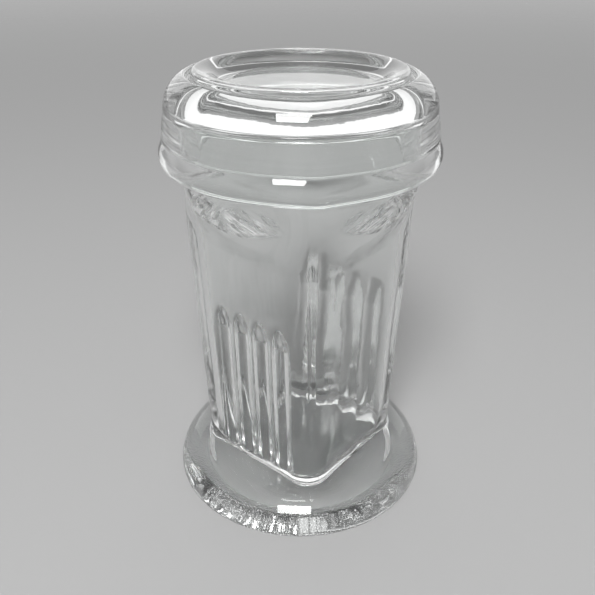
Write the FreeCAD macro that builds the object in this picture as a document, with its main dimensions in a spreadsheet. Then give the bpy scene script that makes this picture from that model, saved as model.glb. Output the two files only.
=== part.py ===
"""Slide staining jar: a pressed-glass jar that holds microscope slides upright, and its loose cover.

The jar is one piece of glass: a round domed foot, a square body that widens upwards, a shoulder
that turns the square into a round neck, and ribs inside two facing walls that keep the slides
apart. It is built as it is pressed: the body "mould" is its outside, the body "plunger" is its
inside, and the jar is one cut from the other. The cover is one turned shape with a dished top,
a skirt that hangs around the neck and a bead at the skirt's lower edge.

Frame: millimetres, +Z up, origin at the centre of the ring that the foot stands on. The ribbed
walls face -X and +X, so a slide stands parallel to the XZ plane.
"""
import FreeCAD
import Part
import math
import os

import Sketcher

Vector = FreeCAD.Vector

# The driving dimensions in millimetres, each one written once.
DIMENSIONS = {
    # foot
    "foot_radius": 31.4,
    "foot_edge_height": 0.4,
    "foot_dome_width": 10.8,
    "foot_dome_height": 8.0,
    "foot_dome_tight": 6.2,
    "foot_land": 8.0,
    "underside_depth": 1.2,
    "underside_round": 1.6,
    # square body, measured at the standing plane and where the shoulder starts
    "base_half_width": 17.8,
    "base_round": 5.7,
    "body_half_width": 19.9,
    "body_round": 6.8,
    "body_fillet": 0.9,
    # shoulder and neck
    "rim_height": 92.0,
    "neck_length": 15.0,
    "neck_radius": 25.6,
    "neck_wall": 2.9,
    "rim_round": 0.9,
    "shoulder_length": 13.5,
    # inside
    "wall": 3.2,
    "floor_height": 7.2,
    "floor_fillet": 2.4,
    "cavity_base_round": 4.2,
    "cavity_round": 5.2,
    "cavity_shoulder_drop": 2.0,
    "bore_start_rise": 1.5,
    # ribs
    "rib_count": 4,
    "rib_pitch": 5.7,
    "rib_radius": 2.15,
    "rib_depth": 2.6,
    "rib_shaft_length": 35.3,
    "rib_ramp_length": 6.0,
    # lid
    "lid_seat_gap": 0.1,
    "lid_plate": 4.6,
    "lid_drop": 12.5,
    "lid_neck_gap": 0.7,
    "lid_bore_draft": 0.4,
    "lid_inner_round": 1.3,
    "lid_lip_round": 0.45,
    "skirt_wall": 2.1,
    "skirt_flare": 0.95,
    "ring_round": 0.8,
    "ring_rise": 2.8,
    "ring_inset": 0.1,
    "dish_slope": 7.4,
    "notch_width": 1.1,
    "notch_depth": 1.8,
    "notch_lip": 0.4,
    "roll_below_ring": 0.75,
    "roll_width": 6.1,
    "roll_height": 7.25,
    "roll_tight": 5.3,
    "bead_proud": 0.7,
    "bead_start": 6.1,
    "bead_middle": 3.2,
    "bead_tight": 2.2,
    "bead_crown": 3.9,
    "bead_groove": 0.5,
}

SHEET = "sizes"
ROOT_TWO = math.sqrt(2)
# How far the shoulder has risen at each of its sections above the first.
SHOULDER_RISES = (0.36, 0.7, 1.0)
# How far past its end the ramp at a rib's top is carried on, inside the wall.
RAMP_OVERRUN = 1.1
# Heights nearer than this count as the same.
NEAR = 0.01


class Size:
    """A length: its number, and the spreadsheet expression that gives it."""

    def __init__(self, number, text=None):
        self.number = float(number)
        self.text = repr(float(number)) if text is None else text

    def __add__(self, other):
        other = as_size(other)
        return Size(self.number + other.number, "(%s + %s)" % (self.text, other.text))

    def __sub__(self, other):
        other = as_size(other)
        return Size(self.number - other.number, "(%s - %s)" % (self.text, other.text))

    def __mul__(self, other):
        other = as_size(other)
        return Size(self.number * other.number, "(%s * %s)" % (self.text, other.text))

    def __truediv__(self, other):
        other = as_size(other)
        return Size(self.number / other.number, "(%s / %s)" % (self.text, other.text))

    def __neg__(self):
        return self * -1


def as_size(value):
    return value if isinstance(value, Size) else Size(value)


def root(size):
    """Square root of a size."""
    return Size(math.sqrt(size.number), "sqrt(%s)" % size.text)


def between(low, high, share):
    """The size that lies at a share of the way from low to high."""
    return low + (high - low) * share


class Sizes:
    """The spreadsheet's cells as attributes, such as size.wall."""

    def __init__(self, doc):
        sheet = doc.addObject("Spreadsheet::Sheet", SHEET)
        for row, (alias, number) in enumerate(DIMENSIONS.items(), start=1):
            sheet.set("A%d" % row, alias)
            sheet.set("B%d" % row, str(number))
            sheet.setAlias("B%d" % row, alias)
            setattr(self, alias, Size(number, "%s.%s" % (SHEET, alias)))
        doc.recompute()


# ---------------------------------------------------------------- sketches

LINE = "line"
LEFT = "left"
RIGHT = "right"


def origin_part(body, role):
    """One of a body's own origin planes or axes."""
    return next(f for f in body.Origin.OriginFeatures if f.Role == role)


def new_sketch(body, name, role, height=None):
    """A sketch on one of the body's origin planes, lifted by height along the plane's normal."""
    sketch = body.newObject("Sketcher::SketchObject", name)
    sketch.AttachmentSupport = [(origin_part(body, role), "")]
    sketch.MapMode = "FlatFace"
    if height is not None:
        sketch.AttachmentOffset = FreeCAD.Placement(
            Vector(0, 0, height.number), FreeCAD.Rotation()
        )
        sketch.setExpression("AttachmentOffset.Base.z", height.text)
    return sketch


def bind(sketch, name, size, kind, *geometry):
    """Adds a dimension to a sketch and binds it to the spreadsheet."""
    sketch.addConstraint(Sketcher.Constraint(kind, *geometry, size.number))
    sketch.renameConstraint(sketch.ConstraintCount - 1, name)
    sketch.setExpression("Constraints." + name, size.text)


def place_point(sketch, point, x, y, name):
    """Holds a sketch point at x and y, each of them a Size, or 0 for on the axis."""
    origin = (-1, 1)
    for kind, value, axis, letter in (("DistanceX", x, -2, "_x"), ("DistanceY", y, -1, "_y")):
        if not isinstance(value, Size):
            sketch.addConstraint(Sketcher.Constraint("PointOnObject", *point, axis))
        elif value.number < 0:
            bind(sketch, name + letter, -value, kind, *point, *origin)
        else:
            bind(sketch, name + letter, value, kind, *origin, *point)


def arc_between(start, end, radius, turn):
    """An arc of that radius from start to end that turns left or right."""
    chord = end - start
    middle = (start + end) / 2
    away = math.sqrt(radius * radius - chord.Length * chord.Length / 4)
    side = Vector(-chord.y, chord.x, 0) / chord.Length
    centre = middle + side * (away if turn == LEFT else -away)
    circle = Part.Circle(centre, Vector(0, 0, 1), radius)
    first, last = (start, end) if turn == LEFT else (end, start)
    return Part.ArcOfCircle(circle, circle.parameter(first), circle.parameter(last))


def closed_outline(sketch, corners):
    """Draws a closed outline and binds it to the spreadsheet.

    Each corner is (name, x, y, way). The way says how the outline goes on from that corner: LINE,
    or (LEFT or RIGHT, radius) for an arc that turns that way.
    """
    spots = [Vector(as_size(x).number, as_size(y).number, 0) for _, x, y, _ in corners]
    ends = []
    for here, start, end in zip(corners, spots, spots[1:] + spots[:1]):
        if here[3] == LINE:
            index = sketch.addGeometry(Part.LineSegment(start, end), False)
            ends.append(((index, 1), (index, 2)))
            continue
        turn, radius = here[3]
        index = sketch.addGeometry(arc_between(start, end, radius.number, turn), False)
        ends.append(((index, 1), (index, 2)) if turn == LEFT else ((index, 2), (index, 1)))
    for (start, _), (_, before) in zip(ends, ends[-1:] + ends[:-1]):
        sketch.addConstraint(Sketcher.Constraint("Coincident", *before, *start))
    for (name, x, y, way), (start, _) in zip(corners, ends):
        place_point(sketch, start, x, y, name)
        if way != LINE:
            bind(sketch, name + "_radius", way[1], "Radius", start[0])
    return sketch


def eight_points(body, name, height, side_x, side_y, side_way, corner_way):
    """A section with four equal sides and four equal corners, centred on the axis.

    Its eight points are the side's two ends, (side_x, -side_y) and (side_x, side_y), turned by
    quarter turns.
    """
    turns = [
        (side_x, -side_y), (side_x, side_y), (side_y, side_x), (-side_y, side_x),
        (-side_x, side_y), (-side_x, -side_y), (-side_y, -side_x), (side_y, -side_x),
    ]
    corners = [
        ("p%d" % i, x, y, corner_way if i % 2 else side_way) for i, (x, y) in enumerate(turns)
    ]
    return closed_outline(new_sketch(body, name, "XY_Plane", height), corners)


def rounded_square(body, name, height, half_side, corner):
    """A square section with round corners."""
    return eight_points(body, name, height, half_side, half_side - corner, LINE, (LEFT, corner))


def swelled_square(body, name, height, half_side, corner, radius, share):
    """A section at a share of the way from the rounded square to a circle of that radius.

    Each of the eight points, and the middle of each side and of each corner between them, goes
    straight out from the square to the circle. The sides and corners are the arcs through those.
    """
    flat = half_side - corner
    reach = root(half_side * half_side + flat * flat)
    side_x = between(half_side, radius * half_side / reach, share)
    side_y = between(flat, radius * flat / reach, share)
    side_rise = between(half_side, radius, share) - side_x
    side_radius = (side_y * side_y + side_rise * side_rise) / (side_rise * 2)
    corner_half_chord = (side_x - side_y) / ROOT_TWO
    corner_rise = between(flat * ROOT_TWO + corner, radius, share) - (side_x + side_y) / ROOT_TWO
    corner_radius = (
        corner_half_chord * corner_half_chord + corner_rise * corner_rise
    ) / (corner_rise * 2)
    return eight_points(
        body, name, height, side_x, side_y, (LEFT, side_radius), (LEFT, corner_radius)
    )


def oval_quarter(wide, narrow, tight):
    """A quarter of an oval made of two arcs that meet smoothly.

    It reaches wide along one axis and narrow along the other. The arc at the wide end has the
    radius tight. Returns the other arc's radius and the point where the two meet, as its
    distances from the oval's centre along the wide and the narrow axis.
    """
    flat = (wide * wide + narrow * narrow - wide * tight * 2) / ((narrow - tight) * 2)
    along_wide = flat * (wide - tight) / (flat - tight)
    along_narrow = narrow - flat + flat * (flat - narrow) / (flat - tight)
    return flat, along_wide, along_narrow


# ---------------------------------------------------------------- features

def new_body(doc, name):
    body = doc.addObject("PartDesign::Body", name)
    body.Label = name
    return body


def loft(body, kind, name, sections, ruled):
    feature = body.newObject("PartDesign::%sLoft" % kind, name)
    feature.Profile = sections[0]
    feature.Sections = sections[1:]
    feature.Ruled = ruled
    return feature


def turned(body, name, corners):
    """A revolution of an outline in the XZ plane around the Z axis."""
    sketch = closed_outline(new_sketch(body, name + "_outline", "XZ_Plane"), corners)
    feature = body.newObject("PartDesign::Revolution", name)
    feature.Profile = sketch
    feature.ReferenceAxis = (sketch, ["V_Axis"])
    feature.Angle = 360
    return feature


def filleted(doc, body, name, radius, chosen):
    """Rounds those edges of the body's last feature that the test chosen picks."""
    doc.recompute()
    base = body.Tip
    picked = ["Edge%d" % n for n, edge in enumerate(base.Shape.Edges, start=1) if chosen(edge)]
    feature = body.newObject("PartDesign::Fillet", name)
    feature.Base = (base, picked)
    feature.Radius = radius.number
    feature.setExpression("Radius", radius.text)
    return feature


def lies_within(edge, low, high, reach):
    """Whether an edge lies above low, no higher than high, and nearer the axis than reach."""
    box = edge.BoundBox
    farthest = max(math.hypot(v.X, v.Y) for v in edge.Vertexes)
    return low.number < box.ZMin and box.ZMax < high.number + NEAR and farthest < reach.number


def square_to_round(body, name, size, low, high, square, radius):
    """The shoulder's loft from the rounded square (half side, corner) at low to the circle at high.

    It turns round slowly at first and last, and fastest half way up.
    """
    sections = [rounded_square(body, name + "_0", low, *square)]
    for step, rise in enumerate(SHOULDER_RISES, start=1):
        height = between(low, high, rise)
        share = rise * rise * (3 - 2 * rise)
        section_name = "%s_%d" % (name, step)
        sections.append(swelled_square(body, section_name, height, *square, radius, share))
    return loft(body, "Additive", name, sections, False)


# ---------------------------------------------------------------- jar

def neck_start(size):
    """Height at which the round neck begins."""
    return size.rim_height - size.neck_length


def shoulder_start(size):
    """Height at which the square body begins to turn round."""
    return neck_start(size) - size.shoulder_length


def outer_half_side(size, height):
    """Half the body's outer width at a height."""
    return between(size.base_half_width, size.body_half_width, height / shoulder_start(size))


def outer_corner(size, height):
    """Radius of the body's outer corners at a height."""
    return between(size.base_round, size.body_round, height / shoulder_start(size))


def inner_half_side(size, height):
    """Half the body's inner width at a height."""
    return outer_half_side(size, height) - size.wall


def build_foot(body, size):
    """The round foot: domed above, with a shallow hollow below inside the ring it stands on."""
    dome_centre = size.foot_radius - size.foot_dome_width
    flat, join_out, join_up = oval_quarter(
        size.foot_dome_width, size.foot_dome_height, size.foot_dome_tight
    )
    land_start = size.foot_radius - size.foot_land
    top = size.foot_edge_height + size.foot_dome_height
    return turned(body, "foot", [
        ("hollow_middle", 0, size.underside_depth, LINE),
        ("hollow_edge", land_start - size.underside_round, size.underside_depth,
         (RIGHT, size.underside_round)),
        ("land_start", land_start, 0, LINE),
        ("land_end", size.foot_radius, 0, LINE),
        ("dome_start", size.foot_radius, size.foot_edge_height, (LEFT, size.foot_dome_tight)),
        ("dome_join", dome_centre + join_out, size.foot_edge_height + join_up, (LEFT, flat)),
        ("dome_top", dome_centre, top, LINE),
        ("top_middle", 0, top, LINE),
    ])


def build_mould(doc, size):
    """The jar's outside, filled solid."""
    body = new_body(doc, "mould")
    build_foot(body, size)
    root_height = size.foot_dome_height / 2
    low = neck_start(size)
    loft(body, "Additive", "square_body", [
        rounded_square(body, "body_root", root_height,
                       outer_half_side(size, root_height), outer_corner(size, root_height)),
        rounded_square(body, "body_top", shoulder_start(size),
                       size.body_half_width, size.body_round),
    ], True)
    foot_top = size.foot_edge_height + size.foot_dome_height
    corner_reach = size.body_half_width * ROOT_TWO
    filleted(doc, body, "foot_fillet", size.body_fillet,
             lambda edge: lies_within(edge, root_height, foot_top, corner_reach))
    square_to_round(body, "shoulder", size, shoulder_start(size), low,
                    (size.body_half_width, size.body_round), size.neck_radius)
    turned(body, "neck", [
        ("low_middle", 0, low, LINE),
        ("low_edge", size.neck_radius, low, LINE),
        ("round_start", size.neck_radius, size.rim_height - size.rim_round,
         (LEFT, size.rim_round)),
        ("round_end", size.neck_radius - size.rim_round, size.rim_height, LINE),
        ("top_middle", 0, size.rim_height, LINE),
    ])
    return body


def rib_section(body, name, height, crest, size, side):
    """A rib's section at a height: a bar with a half-round crest, its back inside the wall."""
    row_end = -(size.rib_pitch * (size.rib_count - 1) / 2)
    flank = crest + size.rib_radius
    back = flank + size.rib_depth * 2
    far = row_end + size.rib_radius * side
    near = row_end - size.rib_radius * side
    return closed_outline(new_sketch(body, name, "XY_Plane", height), [
        ("far_flank", flank * side, far, (LEFT, size.rib_radius)),
        ("crest", crest * side, row_end, (LEFT, size.rib_radius)),
        ("near_flank", flank * side, near, LINE),
        ("near_back", back * side, near, LINE),
        ("far_back", back * side, far, LINE),
    ])


def build_rib_row(body, size, side):
    """The grooves that press one wall's ribs: straight up from the floor, then out into the wall."""
    name = "ribs_right" if side > 0 else "ribs_left"
    row_length = size.rib_pitch * (size.rib_count - 1)
    foot = size.floor_height / 2
    knee = size.floor_height + size.rib_shaft_length
    top = knee + size.rib_ramp_length
    crest_at_foot = inner_half_side(size, foot) - size.rib_depth
    crest_at_knee = inner_half_side(size, knee) - size.rib_depth
    crest_at_end = between(crest_at_knee, inner_half_side(size, top), RAMP_OVERRUN)
    end = between(knee, top, RAMP_OVERRUN)
    stations = [(foot, crest_at_foot), (knee, crest_at_knee), (end, crest_at_end)]
    originals = []
    for part, index in (("shaft", 0), ("ramp", 1)):
        sections = [
            rib_section(body, "%s_%s_%d" % (name, part, i), *stations[i], size, side)
            for i in (index, index + 1)
        ]
        originals.append(loft(body, "Subtractive", "%s_%s" % (name, part), sections, True))
    pattern = body.newObject("PartDesign::LinearPattern", name)
    pattern.Originals = originals
    pattern.Direction = (origin_part(body, "Y_Axis"), [""])
    pattern.Length = row_length.number
    pattern.setExpression("Length", row_length.text)
    pattern.Occurrences = int(size.rib_count.number)
    pattern.setExpression("Occurrences", size.rib_count.text)
    body.Tip = pattern


def build_plunger(doc, size):
    """The jar's inside: square with round corners, grooved for the ribs, and a round bore."""
    body = new_body(doc, "plunger")
    start = shoulder_start(size) - size.cavity_shoulder_drop
    bore_start = neck_start(size) + size.bore_start_rise
    bore_radius = size.neck_radius - size.neck_wall
    loft(body, "Additive", "square_cavity", [
        rounded_square(body, "cavity_floor", size.floor_height,
                       inner_half_side(size, size.floor_height), size.cavity_base_round),
        rounded_square(body, "cavity_top", start,
                       inner_half_side(size, start), size.cavity_round),
    ], True)
    square_to_round(body, "cavity_shoulder", size, start, bore_start,
                    (inner_half_side(size, start), size.cavity_round), bore_radius)
    mouth = bore_radius + size.rim_round
    above = size.rim_height + size.rim_round
    turned(body, "bore", [
        ("low_middle", 0, bore_start, LINE),
        ("low_edge", bore_radius, bore_start, LINE),
        ("flare_start", bore_radius, size.rim_height - size.rim_round, (RIGHT, size.rim_round)),
        ("flare_end", mouth, size.rim_height, LINE),
        ("above_edge", mouth, above, LINE),
        ("above_middle", 0, above, LINE),
    ])
    filleted(doc, body, "floor_round", size.floor_fillet,
             lambda edge: edge.BoundBox.ZMax < size.floor_height.number + NEAR)
    for side in (-1, 1):
        build_rib_row(body, size, side)
    return body


def build_jar(doc, size):
    """The jar: its outside with its inside pressed out."""
    jar = doc.addObject("Part::Cut", "staining_jar")
    jar.Label = "staining_jar"
    jar.Base = build_mould(doc, size)
    jar.Tool = build_plunger(doc, size)
    return jar


# ---------------------------------------------------------------- lid

def build_lid(doc, size):
    """The cover, turned: its plate rests on the rim and its skirt hangs around the neck."""
    body = new_body(doc, "lid")
    underside = size.rim_height + size.lid_seat_gap
    dish = underside + size.lid_plate
    bottom = underside - size.lid_drop
    bore_top = size.neck_radius + size.lid_neck_gap
    bore_low = bore_top + size.lid_bore_draft

    # The roll between the ring and the skirt is a quarter of an upright oval.
    ring_top = dish + size.ring_rise
    skirt_top = bore_top + size.skirt_wall
    roll_middle = skirt_top - size.roll_width
    roll_low = ring_top - size.roll_below_ring - size.roll_height
    roll_flat, roll_join_up, roll_join_out = oval_quarter(
        size.roll_height, size.roll_width, size.roll_tight
    )

    # The ring around the dish, its inner side falling in a long S of two equal arcs.
    ring_outside = roll_middle - size.ring_inset
    ring_crest = ring_outside - size.ring_round
    slope_round = (size.dish_slope * size.dish_slope + size.ring_rise * size.ring_rise) / (
        size.ring_rise * 4
    )

    # The notch that parts the ring from the roll.
    notch_floor = ring_top - size.roll_below_ring - size.notch_depth
    notch_round = size.notch_width / 2
    notch_wall = ring_outside + size.notch_width
    lip_out = notch_wall + size.notch_lip - roll_middle
    lip_height = roll_low + size.roll_height - size.roll_tight + root(
        size.roll_tight * size.roll_tight - lip_out * lip_out
    )

    # The bead: a quarter oval below its widest point, a single arc above.
    skirt_low = skirt_top + size.skirt_flare
    bead_edge = skirt_low + size.bead_proud
    lip_edge = bore_low + size.lid_lip_round
    bead_width = bead_edge - lip_edge
    bead_flat, bead_join_down, bead_join_out = oval_quarter(
        size.bead_middle, bead_width, size.bead_tight
    )
    bead_rise = size.bead_start - size.bead_middle
    bead_inset = size.bead_crown - root(size.bead_crown * size.bead_crown - bead_rise * bead_rise)

    turned(body, "lid_turned", [
        ("hollow_middle", 0, underside, LINE),
        ("hollow_edge", bore_top - size.lid_inner_round, underside,
         (RIGHT, size.lid_inner_round)),
        ("bore_top", bore_top, underside - size.lid_inner_round, LINE),
        ("bore_low", bore_low, bottom + size.lid_lip_round, (LEFT, size.lid_lip_round)),
        ("lip", lip_edge, bottom, (LEFT, size.bead_tight)),
        ("bead_join", lip_edge + bead_join_out, bottom + size.bead_middle - bead_join_down,
         (LEFT, bead_flat)),
        ("bead_edge", bead_edge, bottom + size.bead_middle, (LEFT, size.bead_crown)),
        ("bead_top", bead_edge - bead_inset, bottom + size.bead_start, LINE),
        ("skirt_low", skirt_low, bottom + size.bead_start + size.bead_groove, LINE),
        ("skirt_top", skirt_top, roll_low, (LEFT, roll_flat)),
        ("roll_join", roll_middle + roll_join_out, roll_low + roll_join_up,
         (LEFT, size.roll_tight)),
        ("notch_lip", notch_wall + size.notch_lip, lip_height, (LEFT, size.notch_lip)),
        ("notch_wall", notch_wall, lip_height - size.notch_lip, LINE),
        ("notch_far", notch_wall, notch_floor + notch_round, (RIGHT, notch_round)),
        ("notch_floor", ring_outside + notch_round, notch_floor, (RIGHT, notch_round)),
        ("notch_near", ring_outside, notch_floor + notch_round, LINE),
        ("ring_outside", ring_outside, ring_top - size.ring_round, (LEFT, size.ring_round)),
        ("ring_crest", ring_crest, ring_top, (LEFT, slope_round)),
        ("slope_middle", ring_crest - size.dish_slope / 2, ring_top - size.ring_rise / 2,
         (RIGHT, slope_round)),
        ("dish_edge", ring_crest - size.dish_slope, dish, LINE),
        ("dish_middle", 0, dish, LINE),
    ])
    return body


def check(doc, parts):
    """Stops if any object failed to compute or a sub-part's shape isn't one sound solid."""
    for obj in doc.Objects:
        if {"Invalid", "Error"} & set(obj.State):
            raise RuntimeError("%s: %s" % (obj.Name, obj.State))
    for part in parts:
        if part.Shape.isNull() or not part.Shape.isValid():
            raise RuntimeError("%s has no valid shape" % part.Label)
        print(part.Label, "solids", len(part.Shape.Solids), "volume", round(part.Shape.Volume, 1))


def main():
    doc = FreeCAD.newDocument("slide_staining_jar")
    size = Sizes(doc)
    parts = [build_jar(doc, size), build_lid(doc, size)]
    doc.recompute()
    check(doc, parts)
    os.makedirs("parts", exist_ok=True)
    for part in parts:
        part.Shape.exportStep("parts/%s.step" % part.Label)


main()
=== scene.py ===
"""Looks of the slide staining jar: pressed clear glass on a pale table under soft studio light.

The jar and its cover are each one closed skin of glass, worked out as whole arrays: a grid of
stations along the wall's path (underside, foot, outside, rim, inside, floor) by columns around
the axis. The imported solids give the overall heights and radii, and the other sizes are the
moulds' own, in millimetres.
"""
import math

import bpy
import numpy as np
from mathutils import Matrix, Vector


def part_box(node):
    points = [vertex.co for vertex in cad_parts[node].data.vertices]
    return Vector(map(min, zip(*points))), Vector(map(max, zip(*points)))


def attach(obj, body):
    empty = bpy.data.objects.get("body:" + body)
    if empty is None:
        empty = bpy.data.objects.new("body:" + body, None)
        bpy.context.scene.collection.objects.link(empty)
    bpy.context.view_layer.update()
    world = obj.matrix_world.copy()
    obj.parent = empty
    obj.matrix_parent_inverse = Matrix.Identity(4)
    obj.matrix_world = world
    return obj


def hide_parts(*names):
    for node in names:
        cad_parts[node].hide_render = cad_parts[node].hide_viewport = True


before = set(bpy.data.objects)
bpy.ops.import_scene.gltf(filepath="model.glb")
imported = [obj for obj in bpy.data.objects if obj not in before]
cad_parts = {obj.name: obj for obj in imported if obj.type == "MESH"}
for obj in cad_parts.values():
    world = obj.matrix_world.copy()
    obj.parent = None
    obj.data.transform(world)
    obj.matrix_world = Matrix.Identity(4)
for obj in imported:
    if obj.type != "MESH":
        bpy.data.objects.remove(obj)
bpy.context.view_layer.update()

MM = 0.001

# ---------------------------------------------------------------- sizes

_, jar_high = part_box("staining_jar")
lid_low, lid_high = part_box("lid")

# foot, whose edge stays a little inside the solids' own
EDGE_INSET = 0.02
FOOT_RADIUS = jar_high.x / MM - EDGE_INSET
DOME_WIDTH = 10.8
DOME_HEIGHT = 8.0
EDGE_HEIGHT = 0.4
EDGE_ROUND = 0.3
LAND_WIDTH = 8.0
LAND_START = FOOT_RADIUS - LAND_WIDTH
HOLLOW_DEPTH = 1.2
HOLLOW_SLOPE = 1.6
HOLLOW_FIRST_RADIUS = 2.0
FOOT_FILLET = 0.9

# square body, at the table and where the shoulder starts
BASE_HALF_SIDE = 17.8
BASE_CORNER = 5.7
BODY_HALF_SIDE = 19.9
BODY_CORNER = 6.8

# shoulder and neck
RIM_HEIGHT = jar_high.z / MM
RIM_ROUND = 0.9
NECK_LENGTH = 15.0
NECK_RADIUS = 25.6
NECK_START = RIM_HEIGHT - NECK_LENGTH
SHOULDER_LENGTH = 13.5
SHOULDER_START = NECK_START - SHOULDER_LENGTH

# inside
WALL = 3.2
NECK_WALL = 2.9
FLOOR_HEIGHT = 7.2
FLOOR_FILLET = 2.4
CAVITY_BASE_CORNER = 4.2
CAVITY_CORNER = 5.2
CAVITY_DROP = 2.0
CAVITY_SHOULDER_START = SHOULDER_START - CAVITY_DROP
BORE_RISE = 1.5
BORE_START = NECK_START + BORE_RISE
BORE_RADIUS = NECK_RADIUS - NECK_WALL

# ribs: half-round bars, whose flanks are carried on steeply past a share of the radius
RIB_COUNT = 4
RIB_PITCH = 5.7
RIB_RADIUS = 2.15
RIB_DEPTH = 2.6
RIB_SHAFT = 35.3
RIB_RAMP = 6.0
RIB_KNEE = FLOOR_HEIGHT + RIB_SHAFT
RIB_TOP = RIB_KNEE + RIB_RAMP
RIB_BLEND = 0.08
RIB_FLANK_SHARE = 0.97
RIB_FLANK_STEEPNESS = 5.0

# cover: the bore and the plate
LID_BOTTOM = lid_low.z / MM
LID_TOP = lid_high.z / MM
REST_GAP = 0.1
UNDERSIDE = RIM_HEIGHT + REST_GAP
PLATE = 4.6
DISH = UNDERSIDE + PLATE
NECK_GAP = 0.7
BORE_DRAFT = 0.4
LID_BORE_TOP = NECK_RADIUS + NECK_GAP
LID_BORE_LOW = LID_BORE_TOP + BORE_DRAFT
LID_INNER_ROUND = 1.3
LID_LIP_ROUND = 0.45

# cover: the skirt and its bead
SKIRT_WALL = 2.1
SKIRT_FLARE = 0.95
SKIRT_TOP = LID_BORE_TOP + SKIRT_WALL
SKIRT_LOW = SKIRT_TOP + SKIRT_FLARE
BEAD_RADIUS = lid_high.x / MM
BEAD_START = 6.1
BEAD_MIDDLE = 3.2
BEAD_CROWN = 3.9
BEAD_GROOVE = 0.5

# cover: the roll, the notch, the ring and the dish
ROLL_WIDTH = 6.1
ROLL_HEIGHT = 7.25
ROLL_DROP = 0.75
ROLL_TOP = LID_TOP - ROLL_DROP
NOTCH_WIDTH = 1.1
NOTCH_DEPTH = 1.8
NOTCH_LIP = 0.4
RING_ROUND = 0.8
RING_INSET = 0.1
RING_OUTSIDE = SKIRT_TOP - ROLL_WIDTH - RING_INSET
DISH_SLOPE = 7.4

# rows and columns of the cover's skin
PROFILE_STEP = 0.25
PROFILE_SOFTNESS = 0.2
LID_COLUMNS = 272

# rows of the jar's skin, from the underside round to the floor
HOLLOW_ROWS = 9
SLOPE_ROWS = 7
LAND_ROWS = 5
EDGE_ROWS = 6
DOME_ROWS = 36
FILLET_ROWS = 8
WALL_ROWS = 24
SHOULDER_ROWS = 34
NECK_ROWS = 9
RIM_ROWS = 8
BORE_ROWS = 8
WELL_ROWS = 9
RAMP_ROWS = 40
RAMP_MARGIN = 2.0
SHAFT_ROWS = 10
FLOOR_ROUND_ROWS = 9
FLOOR_ROWS = 10

# columns of the jar's skin
PLAIN_COLUMNS = 48
CORNER_COLUMNS = 19
# half the flat of a ribbed side, and how far its columns stand from each rib's middle
RIB_FLAT = 10.6
RIB_FLAT_MARGIN = 0.1
RIB_SPOTS = (0.0, 0.6, 1.1, 1.45, 1.7, 1.88, 2.02, 2.12, 2.22, 2.34, 2.5, 2.75)

# the moulds' seam, and in degrees its turn and the spread and blunt tip of the cover's dip there
SEAM_HEIGHT = 0.06
SEAM_TURN = -135.0
SEAM_SPREAD = 7.0
SEAM_BLUNT = 3.0
# the dip's depth, the share of it lost on the way up, and where on the top it starts and rises
SEAM_DIP = 0.55
SEAM_LOSS = 0.85
SEAM_DIP_START = 12.0
SEAM_DIP_RISE = 8.0

# the shoulder's chill crinkles: where they are, and over what distance they start at each edge
CHILL_LOW = 69.8
CHILL_LOW_EDGE = 1.2
CHILL_LEAN = 0.18
CHILL_HIGH = 77.0
CHILL_HIGH_EDGE = 2.0
CHILL_START = 0.6
CHILL_START_EDGE = 1.6
CHILL_END = 12.0
CHILL_END_EDGE = 5.0
CHILL_TURN_EDGE = 6.0

# the crinkles' slant, their height, and how much y counts against x along the sides
CHILL_SLANT = 0.7
CHILL_HEIGHT = 0.08
CHILL_SHEAR = 0.7
# their slow bends: radians per millimetre along the side and upwards, phase, height
CHILL_BENDS = (
    (0.9, 0.5, 0.0, 1.4),
    (-0.8, 1.7, 1.0, 0.9),
)
# their ridges: radians per millimetre up the slant and along the side, bends, phase, height
CHILL_RIDGES = (
    (2.6, 0.0, 1.0, 0.0, 1.0),
    (4.1, -1.9, -1.0, 0.7, 0.6),
)

# the gentle unevenness of pressed glass: x, y, z cycles per millimetre, phase, height
OUTSIDE_WAVES = (
    (0.021, 0.034, 0.030, 0.3, 0.03),
    (-0.048, 0.027, 0.041, 1.9, 0.02),
)
INSIDE_WAVES = (
    (0.030, -0.024, 0.038, 0.8, 0.03),
    (0.052, 0.047, -0.029, 2.6, 0.02),
)
LID_WAVES = (
    (0.024, 0.031, 0.017, 1.1, 0.015),
    (-0.043, 0.038, 0.052, 0.4, 0.01),
)
# how far above the foot's edge the outside's waves are whole
WAVE_RISE = 2.0

# ---------------------------------------------------------------- glass, table and light

GLASS_IOR = 1.52
GLASS_TINT = (0.975, 0.985, 0.98, 1.0)
SWELLS_PER_METRE = 130.0
GRAINS_PER_METRE = 900.0
GRAIN_SHARE = 0.12
JAR_UNEVENNESS = 0.06 * MM
COVER_UNEVENNESS = 0.015 * MM

# the crinkles' frost, in streaks that are drawn out along them: opaque near-white rough glass, a
# painted glow standing in for the light that the crinkled clear glass refracts
CHILL_ROUGHNESS = 0.4
CHILL_GLOW_SHARE = 0.95
STREAKS_PER_MM = 0.9
STREAK_DRAW = 0.2
STREAK_SPREAD = 0.05
STREAK_START = 0.42
STREAK_STEEPNESS = 6.0

# the ground ring under the foot
GROUND_HEIGHT = 0.05
GROUND_EDGE = 0.1
GROUND_ROUGHNESS = 0.3
GROUND_SHARE = 0.7
SCRATCHES_PER_METRE = 2600.0
SCRATCH_DEPTH = 0.12 * MM

TABLE_COLOUR = (0.5, 0.5, 0.5, 1.0)
TABLE_ROUGHNESS = 0.9
TABLE_TOP = -0.02 * MM
TABLE_HALF_SIDE = 4.0
TABLE_FADE = 0.3
TABLE_END = 1.4

WHITE = (1.0, 1.0, 1.0, 1.0)
ROOM_GLOW = 0.18
SWEEP_GLOW = 0.45
SWEEP_LOW = 0.15
SWEEP_TOP = 0.45

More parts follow.
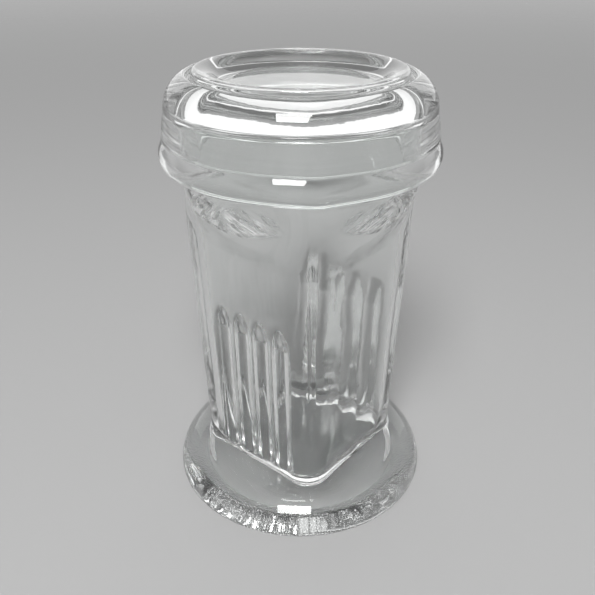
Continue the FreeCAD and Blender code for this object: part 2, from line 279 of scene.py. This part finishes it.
# the lamps face the jar's middle: name, turn, rise, distance, width, height, glow
JAR_MIDDLE = 0.05
LAMPS = (
    ("front window", -58.0, 50.3, 1.1, 0.44, 0.45, 18.0),
    ("back panel", 129.4, 15.5, 1.4, 2.40, 0.76, 0.75),
    ("top box", -50.0, 85.0, 1.4, 1.20, 1.20, 0.4),
)

CAMERA_TURN = -50.6
CAMERA_REACH = 0.1455
CAMERA_HEIGHT = 0.1259
CAMERA_DIP = 28.785
CAMERA_SWING = 0.26422
CAMERA_LENS = 41.98387
CAMERA_FILM = 36.0
CAMERA_NEAR = 0.001

GLASS_BOUNCES = 24
GLOSS_BOUNCES = 12


# ---------------------------------------------------------------- curves and grids

def line(start, end, count=2):
    """Points on the straight line from start to end: start + (end - start) * share."""
    share = np.linspace(0.0, 1.0, count)[:, None]
    return np.array(start) + (np.array(end) - np.array(start)) * share


def arc(centre, across, up, first, last, count=24):
    """Points on an upright ellipse: centre + (across * cos, up * sin) of angles in degrees."""
    angle = np.radians(np.linspace(first, last, count))
    return np.stack([centre[0] + across * np.cos(angle), centre[1] + up * np.sin(angle)], axis=1)


def path_length(path):
    """How long the path is up to each of its points: the running sum of its straight steps."""
    return np.concatenate([[0.0], np.cumsum(np.hypot(*np.diff(path, axis=0).T))])


def even_path(pieces, step, softness):
    """Joins pieces of a path, spaces its points evenly by step and rounds its corners.

    The rounding is a weighted mean of each point with its neighbours along the path, the weights
    falling off as a bell curve of width softness, cut off at three widths. It is worked out on
    points four times as close as the step. The path's two ends stay where they are.
    """
    path = np.concatenate(pieces)
    length = path_length(path)
    keep = np.concatenate([[True], np.diff(length) > 1e-6])
    path, length = path[keep], length[keep]
    fine = step / 4
    along = np.linspace(0.0, length[-1], int(length[-1] / fine))
    points = np.stack([np.interp(along, length, path[:, i]) for i in range(2)], axis=1)
    reach = int(3 * softness / fine)
    offsets = np.arange(-reach, reach + 1)
    weights = np.exp(-0.5 * (offsets * fine / softness) ** 2)
    weights /= weights.sum()
    padded = np.concatenate([
        2 * points[:1] - points[reach:0:-1], points, 2 * points[-1:] - points[-2:-reach - 2:-1],
    ])
    soft = np.stack([np.convolve(padded[:, i], weights, mode="valid") for i in range(2)], axis=1)
    chosen = np.linspace(0.0, length[-1], int(length[-1] / step))
    return np.stack([np.interp(chosen, along, soft[:, i]) for i in range(2)], axis=1)


def smooth_rise(share):
    """3 s^2 - 2 s^3: rises from 0 to 1, level at both ends."""
    share = np.clip(share, 0.0, 1.0)
    return share * share * (3 - 2 * share)


def outward(points):
    """Directions from the axis to points in the plane, of length 1."""
    return points / np.linalg.norm(points, axis=-1, keepdims=True)


def raised(points, height):
    """Plane points [rows, columns, 2] given their heights."""
    height = np.broadcast_to(height, points.shape[:2])
    return np.concatenate([points, height[..., None]], axis=2)


def turned(path, direction):
    """Rows of circles from a path of (radius, height), each column going out in its direction."""
    points = path[:, 0][:, None, None] * direction
    return raised(points, path[:, 1][:, None])


def grid_normals(grid):
    """Unit normals of a closed-around grid [rows, columns, 3], by cross products of its steps."""
    around = np.roll(grid, -1, axis=1) - np.roll(grid, 1, axis=1)
    along = np.gradient(grid, axis=0)
    normal = np.cross(around, along)
    return normal / np.maximum(np.linalg.norm(normal, axis=2, keepdims=True), 1e-12)


def waves(grid, sines):
    """A sum of sine waves through space, each (x, y, z cycles per millimetre, phase, height)."""
    total = np.zeros(grid.shape[:2])
    for *cycles, phase, height in sines:
        total += height * np.sin(2 * np.pi * (grid @ np.array(cycles)) + phase)
    return total


def sunk_waves(grid, sines):
    """The same waves, lowered by their full height, so that none stands proud of the grid."""
    return waves(grid, sines) - sum(height for *_, height in sines)


def skin(name, grid, low_pole, high_pole, body, material, node):
    """A closed mesh from rows of points [rows, columns, 3] in millimetres and a point at each end.

    Rows run from the low pole outward and columns run anticlockwise seen from above, so that the
    faces point outwards.
    """
    rows, columns, _ = grid.shape
    points = np.concatenate([grid.reshape(-1, 3), [low_pole, high_pole]]) * MM
    index = np.arange(rows * columns).reshape(rows, columns)
    after = np.roll(index, -1, axis=1)
    quads = np.stack([index[:-1], after[:-1], after[1:], index[1:]], axis=-1).reshape(-1, 4)
    low, high = rows * columns, rows * columns + 1
    low_fan = np.stack([np.full(columns, low), after[0], index[0]], axis=-1)
    high_fan = np.stack([np.full(columns, high), index[-1], after[-1]], axis=-1)
    mesh = bpy.data.meshes.new(name)
    mesh.from_pydata(points.tolist(), [], quads.tolist() + low_fan.tolist() + high_fan.tolist())
    mesh.polygons.foreach_set("use_smooth", np.ones(len(mesh.polygons), dtype=bool))
    mesh.materials.append(material)
    mesh.update()
    piece = bpy.data.objects.new(name, mesh)
    bpy.context.scene.collection.objects.link(piece)
    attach(piece, body)
    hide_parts(node)
    return piece


# ---------------------------------------------------------------- cover

def lid_path():
    """The cover's half section, from the hollow's middle round the skirt and the top to the dish.

    The bead is an ellipse below its middle and a circle above, and the roll is an ellipse. The
    dish's side is two equal arcs that meet halfway down, so that it falls in an S from the ring.
    """
    lip_x = LID_BORE_LOW + LID_LIP_ROUND
    bead_low = LID_BOTTOM + BEAD_MIDDLE
    bead_width = BEAD_RADIUS - lip_x
    bead_rise = math.degrees(math.asin((BEAD_START - BEAD_MIDDLE) / BEAD_CROWN))
    roll_middle = SKIRT_TOP - ROLL_WIDTH
    roll_low = ROLL_TOP - ROLL_HEIGHT
    notch_wall = RING_OUTSIDE + NOTCH_WIDTH
    notch_round = NOTCH_WIDTH / 2
    notch_low = ROLL_TOP - NOTCH_DEPTH
    lip_angle = math.degrees(math.acos((notch_wall + NOTCH_LIP - roll_middle) / ROLL_WIDTH))
    lip_z = roll_low + ROLL_HEIGHT * math.sin(math.radians(lip_angle))
    crest = RING_OUTSIDE - RING_ROUND
    dish_edge = crest - DISH_SLOPE
    rise = LID_TOP - DISH
    slope_round = (DISH_SLOPE ** 2 + rise ** 2) / (4 * rise)
    tilt = 2 * math.degrees(math.atan(rise / DISH_SLOPE))
    return [
        line((0.0, UNDERSIDE), (LID_BORE_TOP - LID_INNER_ROUND, UNDERSIDE)),
        arc((LID_BORE_TOP - LID_INNER_ROUND, UNDERSIDE - LID_INNER_ROUND),
            LID_INNER_ROUND, LID_INNER_ROUND, 90, 0),
        line((LID_BORE_TOP, UNDERSIDE - LID_INNER_ROUND),
             (LID_BORE_LOW, LID_BOTTOM + LID_LIP_ROUND)),
        arc((lip_x, LID_BOTTOM + LID_LIP_ROUND), LID_LIP_ROUND, LID_LIP_ROUND, 180, 270),
        arc((lip_x, bead_low), bead_width, BEAD_MIDDLE, -90, 0, count=40),
        arc((BEAD_RADIUS - BEAD_CROWN, bead_low), BEAD_CROWN, BEAD_CROWN, 0, bead_rise),
        line((SKIRT_LOW, LID_BOTTOM + BEAD_START + BEAD_GROOVE), (SKIRT_TOP, roll_low)),
        arc((roll_middle, roll_low), ROLL_WIDTH, ROLL_HEIGHT, 0, lip_angle, count=60),
        arc((notch_wall + NOTCH_LIP, lip_z - NOTCH_LIP), NOTCH_LIP, NOTCH_LIP, 90, 180, count=12),
        arc((notch_wall - notch_round, notch_low + notch_round), notch_round, notch_round, 0, -180),
        arc((crest, LID_TOP - RING_ROUND), RING_ROUND, RING_ROUND, 0, 90, count=32),
        arc((crest, LID_TOP - slope_round), slope_round, slope_round, 90, 90 + tilt, count=40),
        arc((dish_edge, DISH + slope_round), slope_round, slope_round, tilt - 90, -90, count=40),
        line((dish_edge, DISH), (0.0, DISH)),
    ]


def seam_dip(grid):
    """How far the cover's skin dips at the moulds' seam: falls off evenly to both sides of it.

    It is dip * exp(-angle from the seam / spread), rounded off at the seam itself. It is whole at
    the lip and slight on the ring, and there is none in the dish's middle or under the plate.
    """
    turn = np.degrees(np.arctan2(grid[..., 1], grid[..., 0])) - SEAM_TURN
    away = np.hypot((turn + 180.0) % 360.0 - 180.0, SEAM_BLUNT) - SEAM_BLUNT
    radius, height = np.linalg.norm(grid[..., :2], axis=2), grid[..., 2]
    depth = UNDERSIDE - LID_BOTTOM
    outside = 1.0 - SEAM_LOSS * smooth_rise((height - LID_BOTTOM) / depth)
    outside *= smooth_rise((radius - SEAM_DIP_START) / SEAM_DIP_RISE)
    inside = smooth_rise((UNDERSIDE - height) / depth)
    lip_row = int(grid[:, 0, 2].argmin())
    share = np.concatenate([inside[:lip_row], outside[lip_row:]])
    return SEAM_DIP * share * np.exp(-away / SEAM_SPREAD)


def make_lid(material):
    """The cover: its half section turned around the axis, then gently waved as pressed glass is."""
    path = even_path(lid_path(), PROFILE_STEP, PROFILE_SOFTNESS)
    turn = np.linspace(0.0, 2 * np.pi, LID_COLUMNS, endpoint=False)
    grid = turned(path[1:-1], np.stack([np.cos(turn), np.sin(turn)], axis=1))
    grid = grid + grid_normals(grid) * sunk_waves(grid, LID_WAVES)[..., None]
    grid[..., 2] -= seam_dip(grid)
    low_pole = (0.0, 0.0, grid[0, :, 2].mean())
    high_pole = (0.0, 0.0, grid[-1, :, 2].mean())
    return skin("lid_glass", grid, low_pole, high_pole, "cover", material, "lid")


# ---------------------------------------------------------------- jar: columns and sections

RIB_MIDDLES = (np.arange(RIB_COUNT) - (RIB_COUNT - 1) / 2) * RIB_PITCH


def side_shares():
    """Where the columns of a ribbed side stand, from -1 to 1 across its flat: close at the ribs."""
    spots = np.array(RIB_SPOTS)
    between = (RIB_MIDDLES[:-1] + RIB_MIDDLES[1:]) / 2
    places = np.concatenate([
        (RIB_MIDDLES[:, None] + spots).ravel(), (RIB_MIDDLES[:, None] - spots).ravel(), between,
    ])
    places = np.unique(np.round(places, 4))
    return places[np.abs(places) < RIB_FLAT - RIB_FLAT_MARGIN] / RIB_FLAT


def jar_columns():
    """The columns around the jar, anticlockwise: pull, turn, ribbed side, place across it, seam.

    A rounded square's outline is (half side - corner) * pull + corner * turn, in which pull and
    turn are (1, t) and (1, 0) along a side, and (1, 1) and (cos a, sin a) round a corner, turned
    by quarter turns. The seam runs up the middle of every other corner.
    """
    ribbed, plain = side_shares(), np.linspace(-1.0, 1.0, PLAIN_COLUMNS)[1:-1]
    angle = np.linspace(0.0, np.pi / 2, CORNER_COLUMNS)
    middle = np.arange(CORNER_COLUMNS) == CORNER_COLUMNS // 2
    parts = []
    for quarter, (cos, sin) in enumerate(((1, 0), (0, 1), (-1, 0), (0, -1))):
        even = quarter % 2 == 0
        shares = ribbed if even else plain
        one, none = np.ones_like(shares), np.zeros_like(shares)
        side = np.stack([one, shares, one, none, one * even, shares * RIB_FLAT, none], axis=1)
        one, none = np.ones_like(angle), np.zeros_like(angle)
        corner = np.stack(
            [one, one, np.cos(angle), np.sin(angle), none, none, middle * even], axis=1)
        part = np.concatenate([side, corner])
        quarter_turns = np.array([[cos, sin], [-sin, cos]])
        part[:, 0:2] = part[:, 0:2] @ quarter_turns
        part[:, 2:4] = part[:, 2:4] @ quarter_turns
        parts.append(part)
    table = np.concatenate(parts)
    return table[:, 0:2], table[:, 2:4], table[:, 4], table[:, 5], table[:, 6]


PULL, TURN, RIBBED, RIB_PLACE, SEAM = jar_columns()


def section(half_side, corner):
    """Rounded squares, one for each row, as points [rows, columns, 2]."""
    half_side, corner = np.asarray(half_side)[..., None], np.asarray(corner)[..., None]
    return (half_side - corner) * PULL + corner * TURN


def outer_half_side(height):
    """Half the body's outer width, which grows evenly with height."""
    return BASE_HALF_SIDE + (BODY_HALF_SIDE - BASE_HALF_SIDE) * height / SHOULDER_START


def outer_corner(height):
    """Radius of the body's outer corners, which grows evenly with height."""
    return BASE_CORNER + (BODY_CORNER - BASE_CORNER) * height / SHOULDER_START


def cavity_corner(height):
    """Radius of the cavity's corners, which grows evenly with height."""
    share = (height - FLOOR_HEIGHT) / (CAVITY_SHOULDER_START - FLOOR_HEIGHT)
    return CAVITY_BASE_CORNER + (CAVITY_CORNER - CAVITY_BASE_CORNER) * share


# ---------------------------------------------------------------- jar: rows

def underside_path():
    """Half section of the underside: the shallow hollow, its soft slope, the land and the edge."""
    slope_start = LAND_START - HOLLOW_SLOPE
    slope = np.linspace(0.0, 1.0, SLOPE_ROWS)[1:]
    land_end = FOOT_RADIUS - EDGE_ROUND
    return np.concatenate([
        line((HOLLOW_FIRST_RADIUS, HOLLOW_DEPTH), (slope_start, HOLLOW_DEPTH), HOLLOW_ROWS),
        np.stack([
            slope_start + HOLLOW_SLOPE * slope, HOLLOW_DEPTH * (1 - smooth_rise(slope)),
        ], axis=1),
        line((LAND_START, 0.0), (land_end, 0.0), LAND_ROWS)[1:],
        arc((land_end, EDGE_ROUND), EDGE_ROUND, EDGE_ROUND, -90, 0, EDGE_ROWS)[1:],
    ])


def foot_rows():
    """Underside, dome and the fillet that meets the body, and the height where the fillet ends.

    The dome's path is a quarter ellipse in from the edge, then level to the axis. Each column
    follows it as far as the fillet, and the fillet is the parabola that leaves the dome and
    meets the wall, each at its own slope.
    """
    top = EDGE_HEIGHT + DOME_HEIGHT
    joint = section(outer_half_side(top), outer_corner(top))
    direction = outward(joint)
    dome = np.concatenate([
        arc((FOOT_RADIUS - DOME_WIDTH, EDGE_HEIGHT), DOME_WIDTH, DOME_HEIGHT, 0, 90, count=300),
        [(0.0, top)],
    ])
    length = path_length(dome)
    reach = np.linalg.norm(joint, axis=-1)
    end = np.interp(reach + FOOT_FILLET, dome[::-1, 0], length[::-1])
    along = np.linspace(0.0, 1.0, DOME_ROWS)[:, None] * end
    radius, height = np.interp(along, length, dome[:, 0]), np.interp(along, length, dome[:, 1])
    dome_rows = raised(radius[..., None] * direction, height)

    joint_height = np.interp(reach, dome[::-1, 0], dome[::-1, 1])
    wall_start = joint_height + FOOT_FILLET
    wall_foot = section(outer_half_side(wall_start), outer_corner(wall_start))
    wall = raised(wall_foot[None], wall_start)
    bend = raised(joint[None], joint_height)
    share = np.linspace(0.0, 1.0, FILLET_ROWS + 2)[1:-1][:, None, None]
    fillet = (1 - share) ** 2 * dome_rows[-1:] + 2 * share * (1 - share) * bend + share ** 2 * wall
    return [turned(underside_path(), direction), dome_rows, fillet], wall_start


def wall_rows(start):
    """The body's outside, from where each column's fillet ends up to the shoulder."""
    rise = np.linspace(0.0, 1.0, WALL_ROWS)[:, None]
    heights = start + (SHOULDER_START - start) * rise
    return raised(section(outer_half_side(heights), outer_corner(heights)), heights)


def shoulder_rows(square, circle, low, high, share):
    """A shoulder, from a rounded square at the height low (share 0) to a circle at high (share 1).

    A column lies at square + (circle - square) * s, in which s is the smooth rise of its share.
    """
    share = share[:, None]
    points = square + (circle - square) * smooth_rise(share)[..., None]
    return raised(points, low + (high - low) * share)


def neck_path():
    """Half section of the neck: up its outside, over the rim's two rounds and down the bore."""
    rim_low = RIM_HEIGHT - RIM_ROUND
    return np.concatenate([
        line((NECK_RADIUS, NECK_START), (NECK_RADIUS, rim_low), NECK_ROWS)[1:],
        arc((NECK_RADIUS - RIM_ROUND, rim_low), RIM_ROUND, RIM_ROUND, 0, 90, RIM_ROWS)[1:],
        arc((BORE_RADIUS + RIM_ROUND, rim_low), RIM_ROUND, RIM_ROUND, 90, 180, RIM_ROWS),
        line((BORE_RADIUS, rim_low), (BORE_RADIUS, BORE_START), BORE_ROWS)[1:],
    ])


def rib_depth(height):
    """How far the ribs stand out from the wall: half-round bars that ramp into it at the top.

    A bar's surface lies at depth - radius + sqrt(radius^2 - across^2), carried on steeply past
    its flanks, and the larger of that and the bare wall is taken, with a small rounding.
    """
    depth = RIB_DEPTH * np.clip(1 - (height - RIB_KNEE) / RIB_RAMP, -1.0, 1.0)
    across = np.abs(RIB_PLACE[:, None] - RIB_MIDDLES).min(axis=1)
    flank = RIB_RADIUS * RIB_FLANK_SHARE
    round_part = np.sqrt(RIB_RADIUS ** 2 - np.minimum(across, flank) ** 2)
    steep = np.maximum(across - flank, 0.0) * RIB_FLANK_STEEPNESS
    bar = depth - RIB_RADIUS + round_part - steep
    return 0.5 * (bar + np.sqrt(bar * bar + 4 * RIB_BLEND ** 2)) * RIBBED


def cavity_rows():
    """The inside from the shoulder down: bare wall, ribs, the round at the floor, and the floor.

    Near the floor the wall leans in along a quarter circle, by radius - sqrt(radius^2 - drop^2).
    """
    ramp_high, ramp_low = RIB_TOP + RAMP_MARGIN, RIB_KNEE - RAMP_MARGIN
    round_top = FLOOR_HEIGHT + FLOOR_FILLET
    round_share = 1 - np.sin(np.linspace(0.0, np.pi / 2, FLOOR_ROUND_ROWS)[1:])
    heights = np.concatenate([
        np.linspace(CAVITY_SHOULDER_START, ramp_high, WELL_ROWS)[1:],
        np.linspace(ramp_high, ramp_low, RAMP_ROWS)[1:],
        np.linspace(ramp_low, round_top, SHAFT_ROWS)[1:],
        FLOOR_HEIGHT + FLOOR_FILLET * round_share,
    ])[:, None]
    drop = np.clip(round_top - heights, 0.0, FLOOR_FILLET)
    lean = FLOOR_FILLET - np.sqrt(np.maximum(FLOOR_FILLET ** 2 - drop ** 2, 0.0))
    half_side = outer_half_side(heights) - WALL
    points = section(half_side - lean, cavity_corner(heights) - lean)
    points[..., 1] = np.where(RIBBED, RIB_FLAT * PULL[:, 1], points[..., 1])
    rib = np.maximum(rib_depth(heights) - lean, 0.0)
    points = points - rib[..., None] * TURN
    wall = raised(points, heights)
    inward = np.linspace(1.0, 0.0, FLOOR_ROWS + 1)[1:-1][:, None, None]
    floor = raised(wall[-1:, :, :2] * inward, FLOOR_HEIGHT)
    return [wall, floor]


# ---------------------------------------------------------------- jar: chill crinkles and skin

def chill_window(x, y, z, across, rise):
    """Where the chill crinkles are, from 0 to 1: a product of five rises, one from each edge.

    They lie on the part of the shoulder above a low edge that rises away from each side's middle,
    on the two sides next to the moulds' seam. Across is the distance from a side's middle, and
    rise is a function that keeps a share between 0 and 1. Arrays and a material's values both fit.
    """
    return (
        rise((z - CHILL_LOW - CHILL_LEAN * across) / CHILL_LOW_EDGE)
        * rise((CHILL_HIGH - z) / CHILL_HIGH_EDGE)
        * rise((across - CHILL_START) / CHILL_START_EDGE)
        * rise((CHILL_END - across) / CHILL_END_EDGE)
        * rise((x + y) / -CHILL_TURN_EDGE)
    )


def chill_crinkles(grid):
    """Crinkles where the shoulder leans out over the flat sides: slanting ridges, broken up.

    They are height * window * a sum of sines of z + slant * across, their phases bent by slower
    sines, and lowered by the sum's full height.
    """
    x, y, z = grid[..., 0], grid[..., 1], grid[..., 2]
    across = np.minimum(np.abs(x), np.abs(y))
    side = x - CHILL_SHEAR * y
    slant = z + CHILL_SLANT * across
    bend = sum(
        height * np.sin(along * side + up * z + phase)
        for along, up, phase, height in CHILL_BENDS
    )
    ridges = sum(
        height * (np.sin(up * slant + along * across + share * bend + phase) - 1.0)
        for up, along, share, phase, height in CHILL_RIDGES
    )
    return CHILL_HEIGHT * chill_window(x, y, z, across, smooth_rise) * ridges


def make_jar(material):
    """The jar's whole skin, from the underside's middle round the rim to the floor's middle."""
    foot, wall_start = foot_rows()
    square = section(BODY_HALF_SIDE, BODY_CORNER)
    direction = outward(square)
    rise = np.linspace(0.0, 1.0, SHOULDER_ROWS)[1:]
    shoulder = shoulder_rows(
        square, NECK_RADIUS * direction, SHOULDER_START, NECK_START, rise)
    neck = turned(neck_path(), direction)
    inner_square = section(outer_half_side(CAVITY_SHOULDER_START) - WALL, CAVITY_CORNER)
    inner_shoulder = shoulder_rows(
        inner_square, BORE_RADIUS * direction, CAVITY_SHOULDER_START, BORE_START, 1.0 - rise)

    outside = np.concatenate(foot + [wall_rows(wall_start), shoulder])
    inside = np.concatenate([inner_shoulder] + cavity_rows())
    above_edge = outside[..., 2] - EDGE_HEIGHT
    outer_swell = sunk_waves(outside, OUTSIDE_WAVES) * smooth_rise(above_edge / WAVE_RISE)
    outer_swell += SEAM_HEIGHT * SEAM * (above_edge > 0.0)
    inner_swell = waves(inside, INSIDE_WAVES) + chill_crinkles(inside)
    swell = np.concatenate([outer_swell, np.zeros(neck.shape[:2]), inner_swell])
    grid = np.concatenate([outside, neck, inside])
    grid = grid + grid_normals(grid) * swell[..., None]
    low_pole = (0.0, 0.0, HOLLOW_DEPTH)
    high_pole = (0.0, 0.0, grid[-1, :, 2].mean())
    return skin(
        "jar_glass", grid, low_pole, high_pole, "jar", material, "staining_jar")


# ---------------------------------------------------------------- finishes

class Value:
    """A value in a material, reckoned with as a number is: each operator adds a Math node."""

    def __init__(self, nodes, socket):
        self.nodes = nodes
        self.socket = socket

    def math(self, operation, first, second):
        """Adds a Math node for an operation on two values or numbers."""
        return self.nodes.node("ShaderNodeMath", {"operation": operation}, {0: first, 1: second})

    def __add__(self, other):
        return self.math("ADD", self, other)

    __radd__ = __add__

    def __sub__(self, other):
        return self.math("SUBTRACT", self, other)

    def __rsub__(self, other):
        return self.math("SUBTRACT", other, self)

    def __mul__(self, other):
        return self.math("MULTIPLY", self, other)

    __rmul__ = __mul__

    def __truediv__(self, other):
        return self.math("DIVIDE", self, other)

    def __abs__(self):
        return self.math("ABSOLUTE", self, 0.0)

    def smaller(self, other):
        """The smaller of this value and another."""
        return self.math("MINIMUM", self, other)

    def between_0_and_1(self):
        """This value, or 0 where it is below 0, or 1 where it is above 1."""
        return self.math("MAXIMUM", self, 0.0).smaller(1.0)


class Nodes:
    """A node tree, empty at first."""

    def __init__(self, tree):
        self.tree = tree
        self.tree.nodes.clear()

    def node(self, kind, settings, inputs, output=0):
        """Adds a node of a kind, then sets its settings, then its sockets, to values or links.

        It gives the output asked for, or None where the node has no outputs.
        """
        made = self.tree.nodes.new(kind)
        for name, setting in settings.items():
            setattr(made, name, setting)
        for name, value in inputs.items():
            if isinstance(value, Value):
                self.tree.links.new(value.socket, made.inputs[name])
            else:
                made.inputs[name].default_value = value
        return Value(self, made.outputs[output]) if made.outputs else None


class Finish(Nodes):
    """A material and its nodes, with the place on the piece that its patterns go by."""

    def __init__(self, name):
        self.material = bpy.data.materials.new(name)
        self.material.use_nodes = True
        super().__init__(self.material.node_tree)
        self.place = self.node("ShaderNodeTexCoord", {}, {}, "Object")

    def noise(self, place, scale, detail):
        """Noise from 0 to 1 over a place, with a number of finer layers."""
        inputs = {"Vector": place, "Scale": scale, "Detail": detail}
        return self.node("ShaderNodeTexNoise", {}, inputs)

    def bump(self, height, distance):
        """Normals of a surface that stands out by height * distance."""
        inputs = {"Height": height, "Distance": distance, "Strength": 1.0}
        return self.node("ShaderNodeBump", {}, inputs)

    def glass(self, roughness, more):
        """The shader of a glass surface, with more of its sockets set."""
        inputs = {"Base Color": GLASS_TINT, "Roughness": roughness, "IOR": GLASS_IOR}
        return self.node("ShaderNodeBsdfPrincipled", {}, inputs | more)

    def clear_glass(self, unevenness):
        """The shader of clear pressed glass, whose skin has faint swells and a fine grain."""
        swell = self.noise(self.place, SWELLS_PER_METRE, detail=1.0)
        grain = self.noise(self.place, GRAINS_PER_METRE, detail=2.0)
        bump = self.bump(swell + GRAIN_SHARE * grain, unevenness)
        return self.glass(0.0, {"Transmission Weight": 1.0, "Normal": bump})

    def finished(self, shader):
        """Ends the material with a shader and gives it back."""
        self.node("ShaderNodeOutputMaterial", {}, {"Surface": shader})
        return self.material


def cover_finish():
    """The cover's clear glass."""
    finish = Finish("cover glass")
    return finish.finished(finish.clear_glass(COVER_UNEVENNESS))


def jar_finish():
    """The jar's clear glass, frosty in streaks at the chill crinkles and ground under the foot.

    The frost is opaque near-white rough glass, a painted glow standing in for the light that the
    crinkled glass refracts; its share is the crinkles' window times a noise that is drawn out along
    them. The ground glass is at the ring that the foot stands on, and its share falls off above it.
    """
    finish = Finish("jar glass")
    x, y, z = (
        finish.node("ShaderNodeSeparateXYZ", {}, {"Vector": finish.place}, axis) / MM
        for axis in "XYZ"
    )
    across = abs(x).smaller(abs(y))
    drawn = finish.node("ShaderNodeCombineXYZ", {}, {
        "X": z + CHILL_SLANT * across,
        "Y": (across - CHILL_SLANT * z) * STREAK_DRAW,
        "Z": (x + y) * STREAK_SPREAD,
    })
    streaks = finish.noise(drawn, STREAKS_PER_MM, detail=3.0)
    streak_share = ((streaks - STREAK_START) * STREAK_STEEPNESS).between_0_and_1()
    window = chill_window(x, y, z, across, Value.between_0_and_1)
    # painted glow: the share of opaque near-white frost that stands in for light refracted by the
    # crinkles
    frost_glow_share = window * streak_share * CHILL_GLOW_SHARE
    # the frost lets no light through, so its near-white colour paints the crinkles bright
    opaque_frost_glow = finish.glass(CHILL_ROUGHNESS, {"Transmission Weight": 0.0})
    clear = finish.clear_glass(JAR_UNEVENNESS)
    pressed = finish.node("ShaderNodeMixShader", {}, {0: frost_glow_share, 1: clear, 2: opaque_frost_glow})

    grit = finish.noise(finish.place, SCRATCHES_PER_METRE, detail=2.0)
    scratches = finish.bump(grit, SCRATCH_DEPTH)
    ground = finish.glass(GROUND_ROUGHNESS, {"Transmission Weight": 1.0, "Normal": scratches})
    low = ((GROUND_HEIGHT - z) / GROUND_EDGE).between_0_and_1() * GROUND_SHARE
    return finish.finished(
        finish.node("ShaderNodeMixShader", {}, {0: low, 1: pressed, 2: ground}))


def table_finish():
    """The table's matt pale covering, which gives way to the room's sweep far from the jar."""
    finish = Finish("table covering")
    reach = finish.node("ShaderNodeVectorMath", {"operation": "LENGTH"}, {0: finish.place}, "Value")
    share = ((TABLE_END - reach) / (TABLE_END - TABLE_FADE)).between_0_and_1()
    return finish.finished(finish.node("ShaderNodeBsdfPrincipled", {}, {
        "Base Color": TABLE_COLOUR, "Roughness": TABLE_ROUGHNESS, "Alpha": share}))


# ---------------------------------------------------------------- table, lamps, room and camera

def make_table(material):
    """A flat square sheet, a hair below the jar's standing ring."""
    corners = np.array([(-1, -1), (1, -1), (1, 1), (-1, 1)]) * TABLE_HALF_SIDE
    mesh = bpy.data.meshes.new("table")
    mesh.from_pydata([(x, y, TABLE_TOP) for x, y in corners.tolist()], [], [(0, 1, 2, 3)])
    mesh.materials.append(material)
    table = bpy.data.objects.new("table", mesh)
    bpy.context.scene.collection.objects.link(table)


def softbox(name, turn, rise, distance, width, height, glow):
    """A rectangular lamp that faces the jar's middle, its brightness the same at every size.

    It stands at an angle around the jar (0 is towards -Y, then anticlockwise) and at an angle
    above the table, both in degrees.
    """
    turn, rise = math.radians(turn), math.radians(rise)
    lamp = bpy.data.lights.new(name, "AREA")
    lamp.shape = "RECTANGLE"
    lamp.size, lamp.size_y = width, height
    lamp.energy = glow * math.pi * width * height
    box = bpy.data.objects.new(name, lamp)
    level, lift = distance * math.cos(rise), distance * math.sin(rise)
    box.location = (level * math.sin(turn), -level * math.cos(turn), lift + JAR_MIDDLE)
    box.rotation_euler = (math.pi / 2 - rise, 0.0, turn)
    bpy.context.scene.collection.objects.link(box)


def make_room():
    """The room: an even grey that grows paler towards the horizon, as a studio's sweep does."""
    world = bpy.data.worlds.new("room")
    world.use_nodes = True
    nodes = Nodes(world.node_tree)
    direction = nodes.node("ShaderNodeTexCoord", {}, {}, "Generated")
    height = nodes.node("ShaderNodeSeparateXYZ", {}, {"Vector": direction}, "Z")
    share = ((SWEEP_TOP - height) / (SWEEP_TOP - SWEEP_LOW)).between_0_and_1()
    glow = ROOM_GLOW + (SWEEP_GLOW - ROOM_GLOW) * share
    sky = nodes.node("ShaderNodeBackground", {}, {"Color": WHITE, "Strength": glow})
    nodes.node("ShaderNodeOutputWorld", {}, {"Surface": sky})
    bpy.context.scene.world = world


def make_camera():
    """The camera: aimed at the jar from in front of one corner of its body, and from above."""
    turn = math.radians(CAMERA_TURN)
    data = bpy.data.cameras.new("camera")
    data.sensor_width = CAMERA_FILM
    data.lens = CAMERA_LENS
    data.clip_start = CAMERA_NEAR
    camera = bpy.data.objects.new("camera", data)
    camera.location = (
        CAMERA_REACH * math.sin(turn), -CAMERA_REACH * math.cos(turn), CAMERA_HEIGHT)
    camera.rotation_euler = (
        math.radians(90.0 - CAMERA_DIP), 0.0, turn + math.radians(CAMERA_SWING))
    bpy.context.scene.collection.objects.link(camera)
    bpy.context.scene.camera = camera


# ---------------------------------------------------------------- the scene

make_jar(jar_finish())
make_lid(cover_finish())
make_table(table_finish())

for lamp in LAMPS:
    softbox(*lamp)
make_room()
make_camera()

scene = bpy.context.scene
scene.view_settings.view_transform = "Standard"
scene.cycles.max_bounces = GLASS_BOUNCES
scene.cycles.transmission_bounces = GLASS_BOUNCES
scene.cycles.glossy_bounces = GLOSS_BOUNCES
